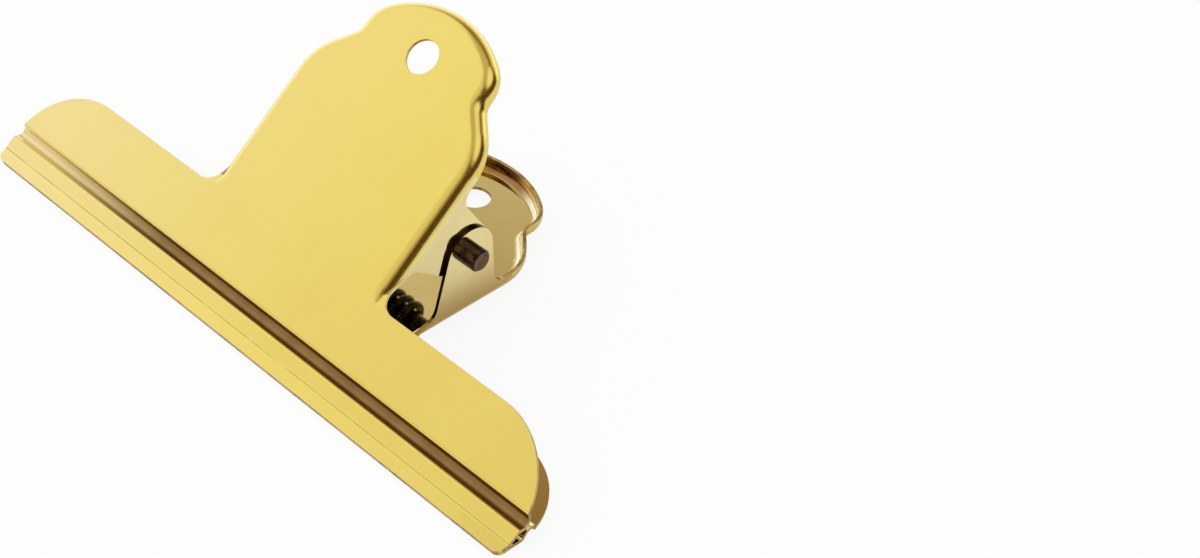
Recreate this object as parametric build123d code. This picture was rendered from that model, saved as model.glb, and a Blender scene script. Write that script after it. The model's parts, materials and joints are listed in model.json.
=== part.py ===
"""Wide bulldog clip: two stamped plates on a pivot pin, held shut by a torsion spring. Millimetres.

The clip lies on its back plate. X runs along the jaw, Y from the jaw up to the handles, Z up.
A plate is drawn in its own frame: x along the jaw, h up the plate from the groove, d inwards from
its outer face. The back plate keeps that frame. The front plate is the same stamping turned half way
round the middle line between the two, which leans from the back plate and passes through the pivot.
"""
from build123d import *

import os
from math import acos, atan2, cos, dist, pi, radians, sin, sqrt, tan

# Sheet metal and the lean of each plate from the middle plane
sheet = 0.7
lean = 20.4

# Jaw: wings with round outer corners, a pressed groove, a lip and a grip strip bent parallel to its twin
jaw_length = 145.0
wing_height = 12.9
wing_corner_radius = 16.5
groove_width = 2.7
groove_depth = 1.2
groove_edge_radius = 0.7
lip_width = 3.0
grip_width = 2.6
crease_radius = 2.0
grip_corner_radius = 1.8
grip_gap = 0.1

# Handle outline of the back plate: neck, sloping shoulders and a round head with the hanging hole
neck_width = 48.8
notch_radius = 3.5
shoulder_height = 45.4
shoulder_radius = 12.0
head_width = 33.0
waist_height = 53.0
waist_radius = 3.0
head_height = 65.1
head_corner_radius = 7.0
crown_radius = 22.5
hole_height = 54.7
hole_diameter = 7.0

# Rim that is turned inwards round the handle
rim_bend_radius = 2.4
rim_depth = 3.3

# Where a plate's handle and jaw are joined: the run beside each notch and the overlap below it
seam_run = 1.0
seam_overlap = 1.0

# Pivot ears, which rise out of the rim beside the neck, the back pair outside the front pair
pivot_height = 30.0
ear_tip_radius = 5.6
ear_base_low = 21.6
ear_base_high = 36.7
ear_fillet_radius = 3.0
ear_side_gap = 0.1

# Pivot pin: pressed into the back ears, free in the front ears
pin_diameter = 4.6
pin_running_clearance = 0.05
pin_overhang = 2.9
pin_end_chamfer = 0.4

# Torsion spring on the pin: each leg ends in a foot that bears on the inside of a handle
wire_diameter = 1.6
coil_clearance = 0.3
turn_gap = 0.9
whole_turns = 7
foot_bend_height = 46.5
foot_length = 6.0
foot_bend_radius = 5.0
foot_gap = 0.1

# Derived places
lean_angle = radians(lean)
jaw_half = jaw_length / 2
crease_h = -groove_width - lip_width
inner_crease_h = crease_h - sheet * tan(lean_angle / 2)
middle_d = sheet + grip_gap / 2 / cos(lean_angle)
pivot_d = middle_d + (pivot_height - inner_crease_h) * tan(lean_angle)
middle_axis = Axis((0, pivot_height, pivot_d), (0, cos(lean_angle), sin(lean_angle)))
back_neck_half = neck_width / 2
front_neck_half = back_neck_half - sheet - ear_side_gap
tray_base_h = wing_height - rim_bend_radius - notch_radius
pin_radius = pin_diameter / 2
wire_radius = wire_diameter / 2
coil_radius = pin_radius + coil_clearance + wire_radius
turn_pitch = wire_diameter + turn_gap

# A sketch drawn in (h, d) with this plane is pushed out along x
SIDE = Plane(origin=(0, 0, 0), x_dir=(0, 1, 0), z_dir=(1, 0, 0))


def corner(sketch, x, y):
    """The sketch's vertex nearest to a point."""
    return sketch.vertices().sort_by_distance(Vector(x, y))[0]


def handle_face(neck_half, inset, run):
    """Handle outline, set in by a distance, with a run of the wings' top edge beside each notch."""
    side, head_half, wing_h = neck_half - inset, head_width / 2 - inset, wing_height - inset
    slant = Vector(head_width / 2 - neck_half, waist_height - shoulder_height).normalized()
    drop = inset * (1 - slant.Y) / slant.X
    crown = crown_radius - inset
    crown_centre_h = head_height - crown_radius
    corners = (
        (side, wing_h, notch_radius + inset),
        (side, shoulder_height + drop, shoulder_radius - inset),
        (head_half, waist_height + drop, waist_radius + inset),
        (head_half, crown_centre_h + sqrt(crown**2 - head_half**2), head_corner_radius - inset),
    )
    run_x = neck_half + notch_radius + run
    right = [(run_x, tray_base_h), (run_x, wing_h)] + [(x, h) for x, h, _ in corners]
    left = [(-x, h) for x, h in reversed(right)]
    top = ThreePointArc(right[-1], (0, crown_centre_h + crown), left[0])
    outline = make_face([*Polyline(*right).edges(), top, *Polyline(*left, right[0]).edges()])
    for x, h, radius in corners:
        outline = fillet([corner(outline, x, h), corner(outline, -x, h)], radius)
    return outline


def edge_profile():
    """Depth of the turned edge against height: a run-in from the wing, the ear and the rim, in (h, d)."""
    below = -sheet
    top = head_height + sheet
    strip = make_face(Polyline(
        (tray_base_h - sheet, below), (top, below), (top, rim_depth), (ear_base_low, rim_depth),
        (wing_height, sheet), (tray_base_h - sheet, sheet), (tray_base_h - sheet, below)))
    tip = Pos(pivot_height, pivot_d) * Circle(ear_tip_radius)
    base = Line((ear_base_low, rim_depth), (ear_base_high, rim_depth))
    profile = strip + make_hull([*tip.edges(), base])
    feet = [corner(profile, ear_base_low, rim_depth), corner(profile, ear_base_high, rim_depth)]
    return fillet(feet, ear_fillet_radius)


def bend_profile(reach):
    """Where the outer bend is rounded, in (h, d): it fades out down the run-in, to one sheet's depth."""
    below = -sheet
    top = head_height + sheet
    return make_face(Polyline(
        (wing_height, below), (top, below), (top, reach), (ear_base_low, reach),
        (ear_base_low, rim_depth - sheet), (wing_height, 0), (wing_height, below)))


def handle_tray(neck_half):
    """Handle with its turned rim and ears, as one sheet of even thickness."""
    reach = pivot_d + ear_tip_radius + sheet
    half_span = neck_half + notch_radius + seam_run + sheet
    square = extrude(handle_face(neck_half, 0, seam_run), reach)
    rim_edges = square.edges().group_by(Axis.Z)[0].filter_by(
        lambda edge: edge.center().Y > wing_height - sheet)
    rounding = square - fillet(rim_edges, rim_bend_radius)
    outer = square - (rounding & extrude(SIDE * bend_profile(reach), half_span, both=True))
    inner = Pos(0, 0, sheet) * extrude(handle_face(neck_half, sheet, jaw_half), reach)
    inner = fillet(inner.edges().group_by(Axis.Z)[0], rim_bend_radius - sheet)
    return (outer - inner) & extrude(SIDE * edge_profile(), half_span, both=True)


def jaw_face(bottom):
    """Plan of the jaw down to a height below the grip strip. Each end is one arc."""
    centre_x, centre_h = jaw_half - wing_corner_radius, wing_height - wing_corner_radius
    low_x = centre_x + sqrt(wing_corner_radius**2 - (bottom - centre_h)**2)
    return make_face([
        ThreePointArc((low_x, bottom), (jaw_half, centre_h), (centre_x, wing_height)),
        Line((centre_x, wing_height), (-centre_x, wing_height)),
        ThreePointArc((-centre_x, wing_height), (-jaw_half, centre_h), (-low_x, bottom)),
        Line((-low_x, bottom), (low_x, bottom)),
    ])


def groove_circles():
    """The groove's outer circle and the bead it makes on the inner side, in (h, d)."""
    radius = (groove_width**2 / 4 + groove_depth**2) / (2 * groove_depth)
    centre = Pos(-groove_width / 2, groove_depth - radius)
    return centre * Circle(radius), centre * Circle(radius + sheet)


def jaw_sheet(neck_half):
    """Wings, groove, lip and grip strip, open above the neck's root."""
    groove, bead = groove_circles()
    top = wing_height + sheet
    bead_top = groove_depth + sheet
    flat = make_face(Polyline((top, 0), (crease_h, 0), (inner_crease_h, sheet), (top, sheet), (top, 0)))
    inside = Pos(0, bead_top / 2) * Rectangle(4 * groove_width, bead_top)
    run = Vector(-cos(lean_angle), -sin(lean_angle)) * grip_width
    thick = Vector(-sin(lean_angle), cos(lean_angle)) * sheet
    outer_crease = Vector(crease_h, 0)
    grip = make_face(Polyline(
        outer_crease, outer_crease + run, outer_crease + run + thick,
        (inner_crease_h, sheet), outer_crease))
    section = flat + (bead & inside) + grip - groove
    groove_edges = [corner(section, 0, 0), corner(section, -groove_width, 0)]
    section = fillet(groove_edges, groove_edge_radius)
    section = fillet(corner(section, crease_h, 0), crease_radius)
    section = fillet(corner(section, inner_crease_h, sheet), crease_radius + sheet)
    strip = extrude(SIDE * section, jaw_length, both=True)
    plan = extrude(jaw_face(crease_h - grip_width - sheet), bead_top + grip_width, both=True)
    jaw = strip & plan
    grip_corners = jaw.edges().filter_by(
        lambda edge: edge.center().Y < crease_h - grip_width * cos(lean_angle)
        and abs(edge.length - sheet) < sheet / 10)
    jaw = fillet(grip_corners, grip_corner_radius)
    root_x = neck_half + notch_radius + seam_run
    root_h = tray_base_h + seam_overlap
    root = make_face(Polyline(
        (root_x, root_h), (root_x, top), (-root_x, top), (-root_x, root_h), (root_x, root_h)))
    return jaw - extrude(root, top, both=True)


def plate(neck_half, pivot_radius):
    """One stamped plate in its own frame, with its hanging hole and pivot holes."""
    body = handle_tray(neck_half) + jaw_sheet(neck_half)
    hanging_hole = Pos(0, hole_height, 0) * Cylinder(hole_diameter / 2, 4 * rim_depth)
    pivot_hole = pivot_cylinder(pivot_radius, jaw_length)
    return (body - hanging_hole - pivot_hole).clean()


def pivot_cylinder(radius, length):
    """Cylinder along the pivot axis, centred on the clip."""
    return Pos(0, pivot_height, pivot_d) * Rot(0, 90, 0) * Cylinder(radius, length)


def pivot_pin():
    """Plain pin with chamfered ends that stand out of the back ears."""
    pin = pivot_cylinder(pin_radius, 2 * (back_neck_half + pin_overhang))
    ends = pin.edges().filter_by(GeomType.CIRCLE)
    return chamfer(ends, pin_end_chamfer)


def across_middle(point):
    """The matching point on the other plate: half a turn about the middle line."""
    h, d = point.Y - pivot_height, point.Z - pivot_d
    turn_cos, turn_sin = cos(2 * lean_angle), sin(2 * lean_angle)
    turned_h, turned_d = h * turn_cos + d * turn_sin, h * turn_sin - d * turn_cos
    return Vector(-point.X, pivot_height + turned_h, pivot_d + turned_d)


def biarc(start, start_direction, end, end_direction):
    """Two arcs that join two points smoothly with the given directions."""
    chord = end - start
    both = start_direction + end_direction
    spread = 2 * (1 - start_direction.dot(end_direction))
    along = chord.dot(both)
    reach = (sqrt(along**2 + spread * chord.dot(chord)) - along) / spread
    first, second = start + start_direction * reach, end - end_direction * reach
    joint = (first + second) * 0.5
    return [TangentArc(start, joint, tangent=start_direction),
            TangentArc(joint, end, tangent=second - first)]


def spring_path():
    """Wire's centre line: foot and leg on the back plate, the turns, leg and foot on the front plate."""
    foot_d = sheet + foot_gap + wire_radius
    bend_h, bend_d = foot_bend_height - pivot_height, foot_d - pivot_d
    leave_angle = atan2(bend_d, bend_h) - acos(coil_radius / sqrt(bend_h**2 + bend_d**2))
    sweep = 2 * (leave_angle + 2 * pi - lean_angle) + (whole_turns - 1) * 2 * pi
    quarters = round(sweep / (pi / 2))
    coil_half = turn_pitch * sweep / (4 * pi)
    slope = turn_pitch / (2 * pi * coil_radius)

    def on_coil(share):
        angle = leave_angle - sweep * share
        place = Vector((2 * share - 1) * coil_half,
                       pivot_height + coil_radius * cos(angle), pivot_d + coil_radius * sin(angle))
        rise = slope if 0 < share < 1 else 0
        return place, Vector(rise, sin(angle), -cos(angle)).normalized()

    leave, _ = on_coil(0)
    tip = Vector(leave.X, foot_bend_height + foot_length, foot_d)
    bend = Vector(leave.X, foot_bend_height, foot_d)
    back_leg = FilletPolyline(tip, bend, leave, radius=foot_bend_radius)
    front_points = [across_middle(point) for point in (leave, bend, tip)]
    front_leg = FilletPolyline(*front_points, radius=foot_bend_radius)
    stations = [on_coil(step / quarters) for step in range(quarters + 1)]
    turns = [arc for a, b in zip(stations, stations[1:]) for arc in biarc(*a, *b)]
    return Wire([*back_leg.edges(), *turns, *front_leg.edges()])


def least_gap(path, steps=900):
    """Least clear distance between stretches of the wire that are more than a half turn apart along it."""
    points = [tuple(path.position_at(step / steps)) for step in range(steps + 1)]
    apart = int(pi * coil_radius / (path.length / steps))
    return min(dist(a, b) for i, a in enumerate(points) for b in points[i + apart:]) - wire_diameter


def torsion_spring():
    """Spring wire swept along its centre line."""
    path = spring_path()
    section = Plane(origin=path @ 0, z_dir=path % 0) * Circle(wire_radius)
    wire = sweep(section, path=path)
    print(f"spring: wire {path.length:.1f} mm long, volume {wire.volume:.1f} of "
          f"{pi * wire_radius**2 * path.length:.1f} mm3, least gap to itself {least_gap(path):.2f} mm")
    return wire


def main():
    """Build the four pieces, seat the clip on the ground with its base centred, and write them."""
    pieces = {
        "back_plate": plate(back_neck_half, pin_radius),
        "front_plate": plate(front_neck_half, pin_radius + pin_running_clearance).rotate(middle_axis, 180),
        "pivot_pin": pivot_pin(),
        "spring": torsion_spring(),
    }
    box = Compound(list(pieces.values())).bounding_box()
    seat = Pos(-box.center().X, -box.center().Y, -box.min.Z)
    os.makedirs("parts", exist_ok=True)
    for name, piece in pieces.items():
        export_step(seat * piece, f"parts/{name}.step")
    pivot = seat.position + Vector(0, pivot_height, pivot_d)
    print(f"clip {box.size.X:.2f} x {box.size.Y:.2f} x {box.size.Z:.2f} mm, "
          f"pivot at {pivot}, seat {seat.position}")


main()
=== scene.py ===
"""Looks of the bulldog clip: brass plates, black pin, torsion spring and a white studio.

Lengths are in metres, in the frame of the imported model.
"""
import json
import math

import bpy
import numpy as np
from bpy.props import FloatProperty, FloatVectorProperty, IntProperty, PointerProperty
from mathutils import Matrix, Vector


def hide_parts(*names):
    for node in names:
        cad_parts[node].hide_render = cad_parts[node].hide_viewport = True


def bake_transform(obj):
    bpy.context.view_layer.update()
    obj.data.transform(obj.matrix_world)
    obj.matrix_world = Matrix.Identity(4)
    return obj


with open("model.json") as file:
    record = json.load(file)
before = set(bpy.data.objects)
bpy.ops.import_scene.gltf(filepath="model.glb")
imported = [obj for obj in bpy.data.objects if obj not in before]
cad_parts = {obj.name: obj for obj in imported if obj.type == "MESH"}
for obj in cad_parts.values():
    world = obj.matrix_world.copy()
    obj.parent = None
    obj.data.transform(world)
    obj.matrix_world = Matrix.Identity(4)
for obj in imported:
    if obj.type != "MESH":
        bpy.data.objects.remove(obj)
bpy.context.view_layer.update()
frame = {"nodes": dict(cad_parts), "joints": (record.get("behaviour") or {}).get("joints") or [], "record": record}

bl_info = {
    "name": "Bulldog clip looks",
    "version": (1, 0, 0),
    "blender": (4, 5, 0),
    "location": "View3D > Sidebar > Clip",
    "description": "Finishes a bulldog clip's plates and pin, winds its spring and sets up a white studio",
    "category": "Object",
}

MM = 0.001

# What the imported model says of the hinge, the sheet and the lean of the plates
hinge = frame["joints"][0]
pivot = Vector(hinge["pos_m"])
holes = {mount["name"]: mount for mount in frame["record"]["mounts"]}
back_hole = holes["hanging_hole_back"]
sheet = back_hole["dims"]["length_mm"] * MM
hole_radius = back_hole["dims"]["r_mm"] * MM
hole_rise = back_hole["pos_m"][1] - pivot.y
pivot_depth = pivot.z - back_hole["pos_m"][2] + sheet / 2
opening_angle = math.acos(holes["hanging_hole_front"]["axis"][2])
lean = opening_angle / 2

# Where the parts of a plate lie: rises up the plate from the pivot, depths inwards from its outer face
groove_top = -30.0 * MM
groove_low = groove_top - 2.7 * MM
crease = groove_top - 5.7 * MM
crease_top = crease + 1.5 * MM
wing_top = -17.1 * MM
wing_middle = (groove_top + wing_top) / 2
rim_low = 7.0 * MM
neck_top = 14.0 * MM
rim_edge_depth = 3.1 * MM
ear_depth = 3.4 * MM
slack = 0.05 * MM

# Point in the handle's hollow that outer faces look away from: drop below the face, top limit and depth
inside_drop = 8.0 * MM
inside_top = 15.0 * MM
inside_depth = 8.0 * MM

# Parts of a face's unit normal that tell the sides of the sheet apart
square_limit = 0.05
ear_flat_limit = 0.995
rim_edge_limit = 0.95
inner_flat_limit = 0.97
inner_bend_limit = 0.3
pin_end_limit = 0.95

# The crease's faces, as shares of the bend from the lip to the grip strip
crease_start, crease_end = 0.25, 0.75

# Fineness of the grain along each axis, its depth and the middle of the noise
rolled_grain = (140.0, 5200.0, 5200.0)
sheared_grain = (5000.0, 900.0, 900.0)
polished_grain = (2600.0, 2600.0, 2600.0)
pin_grain = (2200.0, 2200.0, 2200.0)
wire_grain = (1800.0, 1800.0, 1800.0)
grain_depth = 0.02 * MM
noise_middle = 0.5

# How the spring's wire is divided, and the rounding of its ends as a share of its radius
foot_steps, bend_steps, leg_steps = 4, 14, 10
end_rounding = 0.3

# Places of the colour sockets in a node that mixes colours
MIX_FIRST, MIX_SECOND, MIX_RESULT = 6, 7, 2

# Places of the plates' finishes in their list of materials
OUTER, INNER, EAR, BEND, RIM, GROOVE, CREASE, EDGE, EAR_EDGE = range(9)

# Lights that metal mirrors: a direction, and the cosines to it where the light starts and is full
UP, DOWN = (0, 0, 1), (0, 0, -1)
key_side = (-0.75, -0.65, 0), -0.12, 0.26
key_top = DOWN, -0.97, -0.86
key_end = (-0.174, -0.985, 0), -0.35, 0.0
key_near = (-0.75, -0.10, 0.65), 0.70, 0.95
top_box = (0.46, 0.20, 0.87), 0.85, 0.96
front_box = (0.434, -0.695, 0.574), 0.940, 0.982
ceiling = UP, 0.80, 0.95
backdrop = (-0.68, 0.73, 0), 0.2, 0.55
backdrop_top = DOWN, -0.90, -0.38
backdrop_foot = DOWN, -0.32, -0.12
window = (-0.570, 0.486, 0.663), 0.9957, 0.9988

# Side that the floor gets more light from, in the same form
floor_side = (-0.60, -0.60, 0.53), 0.0, 0.9

# Brightness at which the mirrored room has its dim and its warm tone
dim_at, warm_at = 0.30, 0.65


def colour_setting(name, description, default):
    """A colour in the panel."""
    return FloatVectorProperty(
        name=name, description=description, subtype="COLOR", size=3, min=0, max=1, default=default)


def share_setting(name, description, default):
    """A share from 0 to 1 in the panel."""
    return FloatProperty(
        name=name, description=description, subtype="FACTOR", min=0, max=1, default=default)


def length_setting(name, description, default):
    """A length in the panel."""
    return FloatProperty(name=name, description=description, unit="LENGTH", default=default)


def level_setting(name, description, default):
    """A brightness in the panel."""
    return FloatProperty(name=name, description=description, default=default)


class BrassFinish(bpy.types.PropertyGroup):
    """Colours and polish of the plates."""

    face_colour: colour_setting("Outer faces", "Colour of the satin outer faces", (0.86, 0.69, 0.17))
    face_drift: colour_setting(
        "Outer drift", "Warmer tone that the outer faces drift to", (0.85, 0.66, 0.16))
    # Painted light: the outer faces are made paler towards the -X end of the jaw
    face_lit_end: colour_setting(
        "Outer pale end", "Colour of the outer faces at the -X end of the jaw", (0.90, 0.735, 0.30))
    inside_colour: colour_setting(
        "Inner faces", "Colour of the polished inner faces", (0.84, 0.71, 0.33))
    inside_drift: colour_setting("Inner drift", "Tone that the inner faces drift to", (0.82, 0.68, 0.30))
    # Painted light: the ears and neck sides get a paler copy of the polished brass
    ear_lit_colour: colour_setting(
        "Ears", "Colour of the ears and neck sides, painted light, paler than the inner faces", (0.94, 0.80, 0.39))
    ear_lit_drift: colour_setting("Ear drift", "Tone that the ears drift to", (0.90, 0.75, 0.36))
    # Painted shade: the ears darken to brown low down, near the fold, for the shadowed floor that they mirror
    ear_fold_shade: colour_setting(
        "Ear fold", "Colour of the ears low down, painted shade for the shadowed floor they mirror",
        (0.64, 0.42, 0.15))
    # Painted highlight: the inside of the turned rim and its bend are given a pale cream copy of the brass
    rim_highlight_colour: colour_setting(
        "Rim", "Colour of the inside of the turned rim, painted pale as a highlight", (0.95, 0.88, 0.66))
    rim_highlight_drift: colour_setting("Rim drift", "Tone that the rim drifts to", (0.92, 0.82, 0.55))
    # Painted reflection: the rim's crest is painted black, brown and gold towards its middle, for the shaded front
    # plate that it mirrors
    crest_reflection_brown: colour_setting(
        "Rim's bend", "Colour of the rim's bend at the crest, painted brown as a reflection", (0.36, 0.18, 0.065))
    crest_reflection_gold: colour_setting("Rim's gold", "Colour of the rim beside its crest", (0.88, 0.60, 0.15))
    crest_reflection_dark: colour_setting(
        "Rim's dark crest", "Colour of the rim at its crest, painted black as a reflection of shade", (0.10, 0.04, 0.012))
    # Painted shade: the groove is painted dark brown, and painted light makes it paler towards the -X end
    groove_shade_colour: colour_setting(
        "Groove", "Colour of the pressed groove, painted shade in its hollow", (0.30, 0.18, 0.065))
    groove_shade_drift: colour_setting("Groove drift", "Tone that the groove drifts to", (0.25, 0.145, 0.05))
    groove_lit_end: colour_setting(
        "Groove's pale end", "Colour of the groove painted lighter at the -X end", (0.86, 0.72, 0.36))
    # Painted shade: the crease between the lip and the grip strip is painted darker than the faces
    crease_shade_colour: colour_setting(
        "Crease", "Colour of the crease between the lip and the grip strip", (0.62, 0.46, 0.12))
    edge_colour: colour_setting("Cut edges", "Colour of the sheared edges", (0.62, 0.46, 0.16))
    edge_drift: colour_setting(
        "Edge drift", "Tone of the streaks in the sheared edges", (0.34, 0.23, 0.09))
    # Painted shade: the ears' cut edges are painted near black
    ear_edge_shade_colour: colour_setting(
        "Ear edges", "Colour of the ears' edges, painted black as shade", (0.030, 0.016, 0.008))
    ear_edge_shade_drift: colour_setting(
        "Ear edge drift", "Tone of the rubbed streaks in the ears' edges", (0.12, 0.07, 0.03))
    face_roughness: share_setting(
        "Outer roughness", "Mean roughness of the outer faces, the groove and the crease", 0.22)
    inside_roughness: share_setting(
        "Inner roughness", "Mean roughness of the inner faces and the ears", 0.045)
    rim_roughness: share_setting(
        "Rim roughness", "Mean roughness of the inside of the turned rim and its bend", 0.20)
    edge_roughness: share_setting("Edge roughness", "Mean roughness of the cut edges", 0.32)


class SteelFinish(bpy.types.PropertyGroup):
    """Colours and polish of the pin and the spring."""

    pin_colour: colour_setting("Pin", "Colour of the blackened pin", (0.035, 0.024, 0.018))
    pin_worn: colour_setting(
        "Worn pin", "Colour where the black has rubbed thin on the pin", (0.16, 0.10, 0.06))
    # The pin's cropped ends are brown: partly their own bared steel, partly painted reflection of the floor
    end_tone_and_reflection: colour_setting("Pin ends", "Colour of the pin's cropped ends", (0.13, 0.065, 0.025))
    wire_colour: colour_setting("Spring wire", "Colour of the black spring wire", (0.022, 0.016, 0.013))
    wire_worn: colour_setting("Worn wire", "Colour where the wire was drawn bright", (0.10, 0.07, 0.05))
    roughness: share_setting("Roughness", "Mean roughness of the black steel", 0.26)


class SpringSizes(bpy.types.PropertyGroup):
    """Sizes of the torsion spring, the same as the part's."""

    wire_diameter: length_setting("Wire diameter", "Thickness of the wire", 1.6 * MM)
    coil_radius: length_setting("Coil radius", "From the pivot to the middle of the wire", 3.4 * MM)
    turn_pitch: length_setting("Pitch", "Distance between turns", 2.5 * MM)
    whole_turns: IntProperty(
        name="Whole turns", description="Whole turns on the pin, before what the legs add", default=7)
    foot_rise: length_setting("Foot bend", "From the pivot up to the bend of each foot", 16.5 * MM)
    foot_length: length_setting("Foot length", "Length of each foot past its bend", 6.0 * MM)
    foot_bend_radius: length_setting(
        "Foot bend radius", "Radius of the wire's middle line at the foot", 5.0 * MM)
    foot_gap: length_setting("Foot gap", "Clearance between a foot and its handle", 0.1 * MM)
    sides: IntProperty(name="Sides", description="Points round the wire", default=20)
    steps_per_turn: IntProperty(
        name="Steps per turn", description="Rings along one turn of the wire", default=48)


class StudioSettings(bpy.types.PropertyGroup):
    """Floor, light and camera."""

    floor_size: length_setting("Floor size", "Side of the square floor", 3.0)
    floor_colour: colour_setting("Floor", "Colour of the floor", (0.93, 0.93, 0.93))
    floor_fill: share_setting(
        "Floor fill", "How far the floor is lifted to white where the camera sees it", 0.90)
    floor_glow: share_setting("Floor glow", "How far the floor is lifted to white in reflections", 0.16)
    key_level: level_setting("Key level", "Brightness of the wide soft box at the front left", 1.0)
    key_far_level: level_setting(
        "Key far level", "Brightness of that soft box away from its upper left part", 0.80)
    top_level: level_setting("Top level", "Brightness of the soft box high on the right", 1.0)
    front_level: level_setting("Front level", "Brightness of the soft box beside the camera", 0.48)
    ceiling_level: level_setting("Ceiling level", "Brightness of the ceiling straight above", 0.58)
    back_level: level_setting("Back level", "Brightness of the backdrop behind the clip", 1.0)
    window_level: level_setting("Window level", "Brightness of the small window high at the back", 0.65)
    low_level: level_setting("Low level", "Brightness of the foot of the backdrop", 1.6)
    fill_level: level_setting("Fill level", "Even light on the floor from all round", 0.40)
    side_level: level_setting("Side level", "Light on the floor from the key's side", 1.15)
    dark_colour: colour_setting("Dark room", "Colour of the unlit room", (0.085, 0.040, 0.010))
    dim_colour: colour_setting(
        "Dim light", "Colour of the light a third of the way to white", (0.34, 0.235, 0.11))
    warm_colour: colour_setting(
        "Warm light", "Colour of the light two thirds of the way to white", (0.67, 0.60, 0.48))
    camera_place: FloatVectorProperty(
        name="Camera place", description="Where the camera stands", subtype="TRANSLATION", size=3,
        default=(0.22011, -0.19521, 0.24129))
    camera_turn: FloatVectorProperty(
        name="Camera turn", description="The camera's rotation", subtype="EULER", size=3,
        default=tuple(math.radians(angle) for angle in (50.2339, -4.5163, 43.5870)))
    lens: FloatProperty(name="Lens", description="Focal length in millimetres", default=58.394)


def node_group(name, inputs, outputs):
    """An empty shader group with named sockets: (tree, its input node, its output node)."""
    tree = bpy.data.node_groups.new(name, "ShaderNodeTree")
    for label, kind, default in inputs:
        socket = tree.interface.new_socket(name=label, in_out="INPUT", socket_type=kind)
        socket.default_value = default
    for label, kind in outputs:
        tree.interface.new_socket(name=label, in_out="OUTPUT", socket_type=kind)
    return tree, tree.nodes.new("NodeGroupInput"), tree.nodes.new("NodeGroupOutput")


def add_node(tree, kind, **settings):
    """A node with some of its settings."""
    node = tree.nodes.new(kind)
    for key, value in settings.items():
        setattr(node, key, value)
    return node


def set_inputs(node, **values):
    """Gives sockets their values, by name with underscores for spaces."""
    for key, value in values.items():
        node.inputs[key.replace("_", " ")].default_value = value
    return node


def rgba(colour):
    """A colour property as the four numbers of a socket."""
    return (*colour, 1.0)


def grain_group():
    """Fine lines of the rolled sheet: noise stretched along one direction."""
    tree, given, put = node_group(
        "Rolled grain",
        [("Stretch", "NodeSocketVector", (1.0, 1.0, 1.0))],
        [("Height", "NodeSocketFloat")])
    place = tree.nodes.new("ShaderNodeTexCoord")
    stretch = add_node(tree, "ShaderNodeVectorMath", operation="MULTIPLY")
    noise = set_inputs(tree.nodes.new("ShaderNodeTexNoise"), Scale=1.0, Detail=3.0, Roughness=0.6)
    tree.links.new(place.outputs["Object"], stretch.inputs[0])
    tree.links.new(given.outputs["Stretch"], stretch.inputs[1])
    tree.links.new(stretch.outputs["Vector"], noise.inputs["Vector"])
    tree.links.new(noise.outputs["Fac"], put.inputs["Height"])
    return tree


def drift_group():
    """A slow change between two tones over the surface."""
    tree, given, put = node_group(
        "Tone drift",
        [("Main", "NodeSocketColor", (1, 1, 1, 1)), ("Other", "NodeSocketColor", (1, 1, 1, 1)),
         ("Scale", "NodeSocketFloat", 60.0), ("Low", "NodeSocketFloat", 0.35),
         ("High", "NodeSocketFloat", 0.7)],
        [("Color", "NodeSocketColor")])
    place = tree.nodes.new("ShaderNodeTexCoord")
    noise = set_inputs(tree.nodes.new("ShaderNodeTexNoise"), Detail=4.0, Roughness=0.55)
    ease = add_node(tree, "ShaderNodeMapRange", interpolation_type="SMOOTHSTEP")
    mix = add_node(tree, "ShaderNodeMix", data_type="RGBA")
    tree.links.new(place.outputs["Object"], noise.inputs["Vector"])
    tree.links.new(given.outputs["Scale"], noise.inputs["Scale"])
    tree.links.new(noise.outputs["Fac"], ease.inputs["Value"])
    tree.links.new(given.outputs["Low"], ease.inputs["From Min"])
    tree.links.new(given.outputs["High"], ease.inputs["From Max"])
    tree.links.new(ease.outputs["Result"], mix.inputs["Factor"])
    tree.links.new(given.outputs["Main"], mix.inputs[MIX_FIRST])
    tree.links.new(given.outputs["Other"], mix.inputs[MIX_SECOND])
    tree.links.new(mix.outputs[MIX_RESULT], put.inputs["Color"])
    return tree


def polish_group():
    """Roughness with faint smears and tiny specks, as handled metal has."""
    tree, given, put = node_group(
        "Uneven polish",
        [("Roughness", "NodeSocketFloat", 0.2), ("Smears", "NodeSocketFloat", 0.04),
         ("Specks", "NodeSocketFloat", 0.03)],
        [("Roughness", "NodeSocketFloat")])
    place = tree.nodes.new("ShaderNodeTexCoord")
    smear = set_inputs(tree.nodes.new("ShaderNodeTexNoise"), Scale=90.0, Detail=5.0, Roughness=0.65)
    speck = set_inputs(tree.nodes.new("ShaderNodeTexNoise"), Scale=2600.0, Detail=2.0, Roughness=0.5)
    total = given.outputs["Roughness"]
    for noise, amount in ((smear, "Smears"), (speck, "Specks")):
        tree.links.new(place.outputs["Object"], noise.inputs["Vector"])
        centred = add_node(tree, "ShaderNodeMath", operation="SUBTRACT")
        centred.inputs[1].default_value = noise_middle
        added = add_node(tree, "ShaderNodeMath", operation="MULTIPLY_ADD")
        tree.links.new(noise.outputs["Fac"], centred.inputs[0])
        tree.links.new(centred.outputs["Value"], added.inputs[0])
        tree.links.new(given.outputs[amount], added.inputs[1])
        tree.links.new(total, added.inputs[2])
        total = added.outputs["Value"]
    tree.links.new(total, put.inputs["Roughness"])
    return tree


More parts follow.
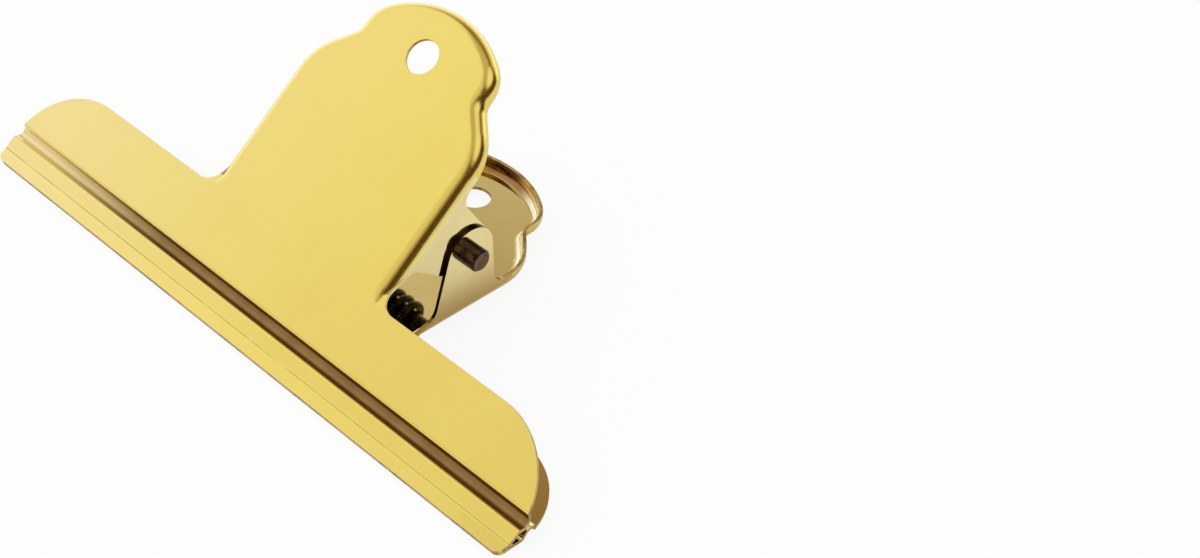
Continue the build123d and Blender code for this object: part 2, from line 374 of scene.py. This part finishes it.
def fade_group():
    """Shares that ease from 0 to 1 along a direction, one way or both ways from the piece's middle."""
    tree, given, put = node_group(
        "Fade along",
        [("Direction", "NodeSocketVector", (1.0, 0.0, 0.0)), ("Start", "NodeSocketFloat", 0.0),
         ("End", "NodeSocketFloat", 0.01)],
        [("One way", "NodeSocketFloat"), ("Both ways", "NodeSocketFloat")])
    place = tree.nodes.new("ShaderNodeTexCoord")
    along = add_node(tree, "ShaderNodeVectorMath", operation="DOT_PRODUCT")
    from_middle = add_node(tree, "ShaderNodeMath", operation="ABSOLUTE")
    tree.links.new(place.outputs["Object"], along.inputs[0])
    tree.links.new(given.outputs["Direction"], along.inputs[1])
    tree.links.new(along.outputs["Value"], from_middle.inputs[0])
    for distance, ways in ((along, "One way"), (from_middle, "Both ways")):
        ease = add_node(tree, "ShaderNodeMapRange", interpolation_type="SMOOTHSTEP")
        tree.links.new(distance.outputs["Value"], ease.inputs["Value"])
        tree.links.new(given.outputs["Start"], ease.inputs["From Min"])
        tree.links.new(given.outputs["End"], ease.inputs["From Max"])
        tree.links.new(ease.outputs["Result"], put.inputs[ways])
    return tree


def place_group(tree, name, build):
    """A node that holds the shared group of that name, which is built the first time."""
    return add_node(tree, "ShaderNodeGroup", node_tree=bpy.data.node_groups.get(name) or build())


def metal(name, main, other, roughness, patches, smears, specks, grain, relief, metallic=1.0):
    """A metal whose tone, polish and grain all vary over the surface.

    The patches of the other tone have a scale and the levels of noise where they start and are full.
    """
    material = bpy.data.materials.new(name)
    material.use_nodes = True
    tree = material.node_tree
    shader = set_inputs(tree.nodes["Principled BSDF"], Metallic=metallic)
    scale, low, high = patches
    tone = set_inputs(place_group(tree, "Tone drift", drift_group), Main=rgba(main), Other=rgba(other))
    set_inputs(tone, Scale=scale, Low=low, High=high)
    polish = set_inputs(place_group(tree, "Uneven polish", polish_group), Roughness=roughness)
    set_inputs(polish, Smears=smears, Specks=specks)
    lines = set_inputs(place_group(tree, "Rolled grain", grain_group), Stretch=grain)
    bump = set_inputs(tree.nodes.new("ShaderNodeBump"), Strength=relief, Distance=grain_depth)
    tree.links.new(tone.outputs["Color"], shader.inputs["Base Color"])
    tree.links.new(polish.outputs["Roughness"], shader.inputs["Roughness"])
    tree.links.new(lines.outputs["Height"], bump.inputs["Height"])
    tree.links.new(bump.outputs["Normal"], shader.inputs["Normal"])
    return material


def fade_colour(material, colour, direction, start, end, ways):
    """Lets a metal's tone start from another colour, along one direction of the piece."""
    tree = material.node_tree
    base = tree.nodes["Principled BSDF"].inputs["Base Color"]
    tone = base.links[0].from_socket
    fade = place_group(tree, "Fade along", fade_group)
    set_inputs(fade, Direction=direction, Start=start, End=end)
    mix = add_node(tree, "ShaderNodeMix", data_type="RGBA")
    mix.inputs[MIX_FIRST].default_value = rgba(colour)
    tree.links.new(fade.outputs[ways], mix.inputs["Factor"])
    tree.links.new(tone, mix.inputs[MIX_SECOND])
    tree.links.new(mix.outputs[MIX_RESULT], base)


def across_middle(x, y, z):
    """A place or direction turned half way round the middle line, from one plate onto the other."""
    turn_cos, turn_sin = math.cos(opening_angle), math.sin(opening_angle)
    return -x, y * turn_cos + z * turn_sin, y * turn_sin - z * turn_cos


def plate_axes(vectors, front):
    """Places or directions in a plate's own axes: along the jaw, up the plate and inwards."""
    return np.stack(across_middle(*vectors.T) if front else vectors.T, 1)


def face_finishes(mesh, front):
    """Each face's finish, by the side of the sheet and the part of the plate that it is on."""
    count = len(mesh.polygons)
    centres, normals = np.zeros(count * 3), np.zeros(count * 3)
    mesh.polygons.foreach_get("center", centres)
    mesh.polygons.foreach_get("normal", normals)
    at = plate_axes(centres.reshape(-1, 3) - np.array(pivot), front)
    facing = plate_axes(normals.reshape(-1, 3), front)
    at[:, 2] += pivot_depth
    x, rise, depth = at.T
    inwards = facing[:, 2]
    along_pin, across_sheet = np.abs(facing[:, 0]), np.abs(inwards)
    across_strip = np.abs(-math.sin(lean) * facing[:, 1] + math.cos(lean) * inwards)
    bend_share = np.arctan2(facing[:, 1], -inwards) / lean

    # Which part of the plate a face is on, and which side of the sheet
    jaw = rise < wing_top + slack
    neck = ~jaw & (rise < neck_top)
    inside_point = np.stack((0 * x, np.minimum(rise - inside_drop, inside_top), 0 * x + inside_depth), 1)
    outwards = np.where(jaw, inwards < 0, ((at - inside_point) * facing).sum(1) > 0)
    finish = np.where(outwards, OUTER, INNER)

    # Faces of the groove, the turned rim, the ears and the crease
    finish[outwards & (rise < groove_top) & (rise > groove_low) & (depth > slack)] = GROOVE
    turned = ~jaw & ~outwards & (rise > rim_low) & (inwards < inner_flat_limit)
    finish[turned] = np.where(inwards[turned] > inner_bend_limit, BEND, RIM)
    finish[neck & outwards & (along_pin > ear_flat_limit)] = EAR
    creased = (bend_share > crease_start) & (bend_share < crease_end)
    finish[outwards & (rise < crease_top) & creased] = CREASE

    # Cut edges of the wings, the grip strip, the rim, the hole and the ears
    in_hole = np.hypot(x, rise - hole_rise) < hole_radius + slack
    rim_edge = (depth > rim_edge_depth) & (inwards > rim_edge_limit)
    neck_edge = neck & (depth > sheet + slack) & (along_pin < square_limit)
    wing_edge = jaw & (across_sheet < square_limit) & ((along_pin > square_limit) | (rise > wing_middle))
    finish[wing_edge] = EDGE
    finish[(rise < crease) & (across_strip < square_limit)] = EDGE
    finish[rim_edge | neck_edge | (in_hole & (across_sheet < square_limit))] = EDGE
    finish[neck_edge & (depth > ear_depth)] = EAR_EDGE
    return finish


def plate_metals(brass):
    """The plates' finishes, each under its place in the list of materials."""
    # Painted highlight: a pale cream copy of the brass for the rim's inside and bend, with the crest's painted
    # reflection faded in later
    rubbed = {
        "main": brass.rim_highlight_colour, "other": brass.rim_highlight_drift, "roughness": brass.rim_roughness,
        "patches": (120.0, 0.40, 0.70), "smears": 0.06, "specks": 0.04,
        "grain": polished_grain, "relief": 0.03,
    }
    return {
        OUTER: metal(
            "Satin brass", brass.face_colour, brass.face_drift, brass.face_roughness,
            patches=(38.0, 0.35, 0.70), smears=0.05, specks=0.04, grain=rolled_grain, relief=0.06),
        INNER: metal(
            "Polished brass", brass.inside_colour, brass.inside_drift, brass.inside_roughness,
            patches=(55.0, 0.40, 0.72), smears=0.03, specks=0.01, grain=polished_grain, relief=0.01),
        # Painted light: a paler copy of the polished brass for the ears and neck sides
        EAR: metal(
            "Brass ears in painted light", brass.ear_lit_colour, brass.ear_lit_drift, brass.inside_roughness,
            patches=(90.0, 0.40, 0.72), smears=0.04, specks=0.01, grain=polished_grain, relief=0.01),
        BEND: metal("Brass rim bend with painted highlight and reflection", **rubbed),
        RIM: metal("Brass rim with painted highlight and reflection", **rubbed),
        # Painted shade: a dark brown copy of the satin brass for the groove
        GROOVE: metal(
            "Brass groove in painted shade", brass.groove_shade_colour, brass.groove_shade_drift, brass.face_roughness,
            patches=(160.0, 0.38, 0.68), smears=0.06, specks=0.05, grain=rolled_grain, relief=0.06),
        # Painted shade: a darker copy of the satin brass for the crease
        CREASE: metal(
            "Brass crease in painted shade", brass.crease_shade_colour, brass.face_drift, brass.face_roughness,
            patches=(160.0, 0.45, 0.75), smears=0.06, specks=0.05, grain=rolled_grain, relief=0.06),
        EDGE: metal(
            "Sheared brass edge", brass.edge_colour, brass.edge_drift, brass.edge_roughness,
            patches=(420.0, 0.42, 0.66), smears=0.10, specks=0.08, grain=sheared_grain, relief=0.25),
        # Painted shade: a near black finish for the ears' cut edges
        EAR_EDGE: metal(
            "Brass ear edge in painted shade", brass.ear_edge_shade_colour, brass.ear_edge_shade_drift, brass.edge_roughness,
            patches=(420.0, 0.50, 0.74), smears=0.10, specks=0.08, grain=sheared_grain, relief=0.25),
    }


def fade_metals(metals, brass):
    """Lets the tones of some finishes change along the clip, from where to where in millimetres."""
    along_jaw = (1, 0, 0)
    for place, colour, direction, start, end, ways in (
            # Painted light: the outer faces fade paler towards the -X end
            (OUTER, brass.face_lit_end, along_jaw, -80, 20, "One way"),
            # Painted reflection: the rim's bend and crest darken towards the middle of the clip
            (BEND, brass.crest_reflection_brown, along_jaw, 4, 11, "Both ways"),
            (RIM, brass.crest_reflection_gold, along_jaw, 10, 16, "Both ways"),
            (RIM, brass.crest_reflection_dark, along_jaw, 2, 8, "Both ways"),
            # Painted light: the groove's painted shade fades paler towards the -X end
            (GROOVE, brass.groove_lit_end, along_jaw, -72, -20, "One way"),
            # Painted shade: the ears turn brown low down, near the fold
            (EAR, brass.ear_fold_shade, UP, 1.5, 13, "One way")):
        fade_colour(metals[place], colour, direction, start * MM, end * MM, ways)


class CLIP_OT_finish_plates(bpy.types.Operator):
    """Gives both plates their satin and polished faces, faces painted with light, highlights, reflections and
    shade, and their cut edges
    """

    bl_idname = "clip.finish_plates"
    bl_label = "Finish the plates"

    def execute(self, context):
        brass = context.scene.clip_brass
        metals = plate_metals(brass)
        fade_metals(metals, brass)
        for name in ("back_plate", "front_plate"):
            mesh = frame["nodes"][name].data
            mesh.materials.clear()
            for place in sorted(metals):
                mesh.materials.append(metals[place])
            finishes = face_finishes(mesh, name == "front_plate")
            mesh.polygons.foreach_set("material_index", finishes.astype(np.int32))
            mesh.update()
        return {"FINISHED"}


class CLIP_OT_blacken_pin(bpy.types.Operator):
    """Gives the pivot pin its black finish, rubbed thin in places"""

    bl_idname = "clip.blacken_pin"
    bl_label = "Blacken the pin"

    def execute(self, context):
        steel = context.scene.clip_steel
        mesh = frame["nodes"]["pivot_pin"].data
        mesh.materials.clear()
        mesh.materials.append(metal(
            "Blackened pin", steel.pin_colour, steel.pin_worn, steel.roughness,
            patches=(320.0, 0.48, 0.78), smears=0.14, specks=0.10, grain=pin_grain, relief=0.2,
            metallic=0.8))
        # Brown cropped ends: partly bared steel, partly painted reflection of the floor
        mesh.materials.append(metal(
            "Cropped pin end with painted reflection", steel.end_tone_and_reflection, steel.pin_worn, steel.roughness,
            patches=(600.0, 0.40, 0.70), smears=0.14, specks=0.10, grain=pin_grain, relief=0.3))
        for face in mesh.polygons:
            face.material_index = int(abs(face.normal.x) > pin_end_limit)
        return {"FINISHED"}


def rounded_leg(tip, bend, end, radius):
    """Points from the tip round the bend to the end, in a plane across the pin."""
    to_tip, to_end = (tip - bend).normalized(), (end - bend).normalized()
    half = to_tip.angle(to_end) / 2
    reach = radius / math.tan(half)
    start, stop = bend + to_tip * reach, bend + to_end * reach
    centre = bend + (to_tip + to_end).normalized() * (radius / math.sin(half))
    points = [tip.lerp(start, step / foot_steps) for step in range(foot_steps)]
    for step in range(bend_steps):
        outwards = (start - centre).slerp(stop - centre, step / bend_steps).normalized()
        points.append(centre + outwards * radius)
    return points + [stop.lerp(end, step / leg_steps) for step in range(leg_steps)]


def spring_line(sizes):
    """The wire's middle line, from the back foot to the front foot, and half the coil's length."""
    radius = sizes.coil_radius
    foot_depth = sheet + sizes.foot_gap + sizes.wire_diameter / 2 - pivot_depth
    bend_distance = math.hypot(sizes.foot_rise, foot_depth)
    leave = math.atan2(foot_depth, sizes.foot_rise) - math.acos(radius / bend_distance)
    sweep = 2 * (leave + 2 * math.pi - lean) + (sizes.whole_turns - 1) * 2 * math.pi
    quarters = round(sweep / (math.pi / 2))
    half = sizes.turn_pitch * sweep / (4 * math.pi)
    steps = round(sizes.steps_per_turn * sweep / (2 * math.pi))

    def along_pin(share):
        """Place along the pin at a share of the turns, eased over the first and the last quarter turn."""
        lead = min(share, 1 - share) * quarters
        eased = (2 * lead - lead**2) * lead if lead < 1 else lead
        place = eased / quarters
        return half * (2 * place - 1) if share < 0.5 else half * (1 - 2 * place)

    coil = []
    for step in range(steps + 1):
        angle = leave - sweep * step / steps
        coil.append(Vector((along_pin(step / steps), radius * math.cos(angle), radius * math.sin(angle))))
    bend = Vector((-half, sizes.foot_rise, foot_depth))
    tip = bend + Vector((0, sizes.foot_length, 0))
    back_leg = rounded_leg(tip, bend, coil[0], sizes.foot_bend_radius)
    front_leg = [Vector(across_middle(*point)) for point in reversed(back_leg)]
    return [pivot + point for point in [*back_leg, *coil, *front_leg]], half


def wire_mesh(name, line, radius, sides):
    """A round wire along a line, with slightly rounded ends."""
    bevel = radius * end_rounding
    places, across = [], None
    last_place = len(line) - 1
    for i, point in enumerate(line):
        ahead = (line[min(i + 1, last_place)] - line[max(i - 1, 0)]).normalized()
        if across is None:
            across = ahead.orthogonal().normalized()
        across = (across - ahead * across.dot(ahead)).normalized()
        places.append((point, ahead, across))
    first, last = places[0], places[-1]
    rings = [(first[0], first, radius - bevel), (first[0] + first[1] * bevel, first, radius)]
    rings += [(place[0], place, radius) for place in places[1:-1]]
    rings += [(last[0] - last[1] * bevel, last, radius), (last[0], last, radius - bevel)]
    verts, faces = [], []
    for centre, (_, ahead, side), size in rings:
        up = ahead.cross(side)
        for k in range(sides):
            angle = 2 * math.pi * k / sides
            verts.append(centre + (side * math.cos(angle) + up * math.sin(angle)) * size)
    for ring in range(len(rings) - 1):
        for k in range(sides):
            a, b = ring * sides + k, ring * sides + (k + 1) % sides
            faces.append((a, b, b + sides, a + sides))
    faces.append(tuple(reversed(range(sides))))
    faces.append(tuple(range((len(rings) - 1) * sides, len(rings) * sides)))
    mesh = bpy.data.meshes.new(name)
    mesh.from_pydata(verts, [], faces)
    mesh.polygons.foreach_set("use_smooth", [len(face) == 4 for face in faces])
    mesh.update()
    return mesh


class CLIP_OT_wind_spring(bpy.types.Operator):
    """Winds the black wire of the torsion spring, which turns between the two plates"""

    bl_idname = "clip.wind_spring"
    bl_label = "Wind the spring"

    def execute(self, context):
        sizes, steel = context.scene.clip_spring, context.scene.clip_steel
        line, half = spring_line(sizes)
        wire_radius = sizes.wire_diameter / 2
        mesh = wire_mesh("spring_wire", line, wire_radius, sizes.sides)
        mesh.materials.append(metal(
            "Black spring wire", steel.wire_colour, steel.wire_worn, steel.roughness,
            patches=(500.0, 0.50, 0.80), smears=0.12, specks=0.10, grain=wire_grain, relief=0.15,
            metallic=0.8))
        spring = bpy.data.objects.new("spring_wire", mesh)
        context.scene.collection.objects.link(spring)
        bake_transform(spring)
        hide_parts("spring")
        return {"FINISHED"}


def joined(tree, operation, parts):
    """Several values joined by one operation."""
    total = parts[0]
    for part in parts[1:]:
        step = add_node(tree, "ShaderNodeMath", operation=operation)
        tree.links.new(total, step.inputs[0])
        tree.links.new(part, step.inputs[1])
        total = step.outputs["Value"]
    return total


def scaled(tree, part, level, base=0.0):
    """A value times a level, on top of a base."""
    step = add_node(tree, "ShaderNodeMath", operation="MULTIPLY_ADD")
    step.inputs[1].default_value = level
    step.inputs[2].default_value = base
    tree.links.new(part, step.inputs[0])
    return step.outputs["Value"]


def studio_floor(settings):
    """A square white floor under the clip that keeps a soft shadow."""
    half = settings.floor_size / 2
    mesh = bpy.data.meshes.new("studio_floor")
    corners = [(-half, -half, 0), (half, -half, 0), (half, half, 0), (-half, half, 0)]
    mesh.from_pydata(corners, [], [(0, 1, 2, 3)])
    floor = bpy.data.objects.new("studio_floor", mesh)
    bpy.context.scene.collection.objects.link(floor)
    material = bpy.data.materials.new("Studio floor")
    material.use_nodes = True
    tree = material.node_tree
    tree.nodes.clear()
    surface = set_inputs(tree.nodes.new("ShaderNodeBsdfDiffuse"), Color=rgba(settings.floor_colour))
    white = tree.nodes.new("ShaderNodeEmission")
    light = tree.nodes.new("ShaderNodeLightPath")
    mirrored = joined(tree, "MAXIMUM", [
        light.outputs["Is Glossy Ray"], light.outputs["Is Transmission Ray"]])
    lift = joined(tree, "ADD", [
        scaled(tree, light.outputs["Is Camera Ray"], settings.floor_fill),
        scaled(tree, mirrored, settings.floor_glow)])
    mix = tree.nodes.new("ShaderNodeMixShader")
    put = tree.nodes.new("ShaderNodeOutputMaterial")
    tree.links.new(lift, mix.inputs["Fac"])
    tree.links.new(surface.outputs["BSDF"], mix.inputs[1])
    tree.links.new(white.outputs["Emission"], mix.inputs[2])
    tree.links.new(mix.outputs["Shader"], put.inputs["Surface"])
    mesh.materials.append(material)


def direction_mask(tree, place, direction, low, high):
    """How nearly a direction of the surroundings is a given one, eased from 0 to 1."""
    dot = add_node(tree, "ShaderNodeVectorMath", operation="DOT_PRODUCT")
    dot.inputs[1].default_value = Vector(direction).normalized()
    ease = add_node(tree, "ShaderNodeMapRange", interpolation_type="SMOOTHSTEP")
    set_inputs(ease, From_Min=low, From_Max=high)
    tree.links.new(place.outputs["Generated"], dot.inputs[0])
    tree.links.new(dot.outputs["Value"], ease.inputs["Value"])
    return ease.outputs["Result"]


def room_brightness(tree, place, settings):
    """How bright the mirrored room is in each direction: its soft boxes, ceiling, backdrop and window."""
    def mask(light):
        return direction_mask(tree, place, *light)

    behind = mask(backdrop)
    key_gain = settings.key_level - settings.key_far_level
    key = joined(tree, "MULTIPLY", [
        mask(key_side), mask(key_top), mask(key_end),
        scaled(tree, mask(key_near), key_gain, settings.key_far_level)])
    back = joined(tree, "MULTIPLY", [behind, mask(backdrop_top)])
    foot = joined(tree, "MULTIPLY", [behind, mask(backdrop_foot)])
    return joined(tree, "MAXIMUM", [
        key,
        scaled(tree, mask(top_box), settings.top_level),
        scaled(tree, mask(front_box), settings.front_level),
        scaled(tree, mask(ceiling), settings.ceiling_level),
        scaled(tree, back, settings.back_level),
        scaled(tree, foot, settings.low_level),
        scaled(tree, mask(window), settings.window_level)])


def studio_world(settings):
    """A dark warm room with soft boxes, which metal mirrors, and soft white light for all else."""
    world = bpy.data.worlds.new("Studio")
    bpy.context.scene.world = world
    world.use_nodes = True
    tree = world.node_tree
    tree.nodes.clear()
    place = tree.nodes.new("ShaderNodeTexCoord")
    bright = room_brightness(tree, place, settings)
    tones = tree.nodes.new("ShaderNodeValToRGB")
    ramp = tones.color_ramp
    ramp.elements[0].color = rgba(settings.dark_colour)
    ramp.elements[1].color = (1, 1, 1, 1)
    ramp.elements.new(dim_at).color = rgba(settings.dim_colour)
    ramp.elements.new(warm_at).color = rgba(settings.warm_colour)
    over_white = add_node(tree, "ShaderNodeMath", operation="MAXIMUM")
    over_white.inputs[1].default_value = 1.0
    side_light = direction_mask(tree, place, *floor_side)
    fill = scaled(tree, side_light, settings.side_level, settings.fill_level)
    mirrored = tree.nodes.new("ShaderNodeBackground")
    soft = set_inputs(tree.nodes.new("ShaderNodeBackground"), Color=(1, 1, 1, 1))
    white = set_inputs(tree.nodes.new("ShaderNodeBackground"), Color=(1, 1, 1, 1), Strength=1.0)
    light = tree.nodes.new("ShaderNodeLightPath")
    unseen, mix = (tree.nodes.new("ShaderNodeMixShader") for _ in range(2))
    put = tree.nodes.new("ShaderNodeOutputWorld")
    tree.links.new(bright, tones.inputs["Fac"])
    tree.links.new(bright, over_white.inputs[0])
    tree.links.new(tones.outputs["Color"], mirrored.inputs["Color"])
    tree.links.new(over_white.outputs["Value"], mirrored.inputs["Strength"])
    tree.links.new(fill, soft.inputs["Strength"])
    tree.links.new(light.outputs["Is Glossy Ray"], unseen.inputs["Fac"])
    tree.links.new(soft.outputs["Background"], unseen.inputs[1])
    tree.links.new(mirrored.outputs["Background"], unseen.inputs[2])
    tree.links.new(light.outputs["Is Camera Ray"], mix.inputs["Fac"])
    tree.links.new(unseen.outputs["Shader"], mix.inputs[1])
    tree.links.new(white.outputs["Background"], mix.inputs[2])
    tree.links.new(mix.outputs["Shader"], put.inputs["Surface"])


class CLIP_OT_set_studio(bpy.types.Operator):
    """Lays the floor, lights the clip and sets the camera"""

    bl_idname = "clip.set_studio"
    bl_label = "Set the studio"

    def execute(self, context):
        settings = context.scene.clip_studio
        studio_floor(settings)
        studio_world(settings)
        camera = bpy.data.cameras.new("Camera")
        camera.sensor_width = 36.0
        camera.lens = settings.lens
        camera.clip_start, camera.clip_end = 0.01, 20.0
        eye = bpy.data.objects.new("Camera", camera)
        eye.location = settings.camera_place
        eye.rotation_euler = settings.camera_turn
        context.scene.collection.objects.link(eye)
        context.scene.camera = eye
        context.scene.view_settings.view_transform = "Standard"
        return {"FINISHED"}


class CLIP_PT_looks(bpy.types.Panel):
    """Lists the steps and their settings in the sidebar"""

    bl_idname = "CLIP_PT_looks"
    bl_label = "Bulldog clip"
    bl_space_type = "VIEW_3D"
    bl_region_type = "UI"
    bl_category = "Clip"

    def draw(self, context):
        for step, group in STEPS:
            box = self.layout.box()
            box.operator(step.bl_idname)
            settings = getattr(context.scene, group)
            for key in settings.bl_rna.properties.keys():
                if key not in ("rna_type", "name"):
                    box.prop(settings, key)


# The steps in order, each with the settings that the panel lists under it
STEPS = (
    (CLIP_OT_finish_plates, "clip_brass"),
    (CLIP_OT_blacken_pin, "clip_steel"),
    (CLIP_OT_wind_spring, "clip_spring"),
    (CLIP_OT_set_studio, "clip_studio"),
)
SETTINGS = {
    "clip_brass": BrassFinish,
    "clip_steel": SteelFinish,
    "clip_spring": SpringSizes,
    "clip_studio": StudioSettings,
}
CLASSES = (*SETTINGS.values(), *(step for step, _ in STEPS), CLIP_PT_looks)


def register():
    """Adds the settings, the steps and the panel to Blender."""
    for cls in CLASSES:
        bpy.utils.register_class(cls)
    for name, group in SETTINGS.items():
        setattr(bpy.types.Scene, name, PointerProperty(type=group))


def unregister():
    """Takes them out again."""
    for name in SETTINGS:
        delattr(bpy.types.Scene, name)
    for cls in reversed(CLASSES):
        bpy.utils.unregister_class(cls)


def main():
    """Runs the steps in order."""
    register()
    bpy.ops.clip.finish_plates()
    bpy.ops.clip.blacken_pin()
    bpy.ops.clip.wind_spring()
    bpy.ops.clip.set_studio()
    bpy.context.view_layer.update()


if __name__ == "__main__":
    main()
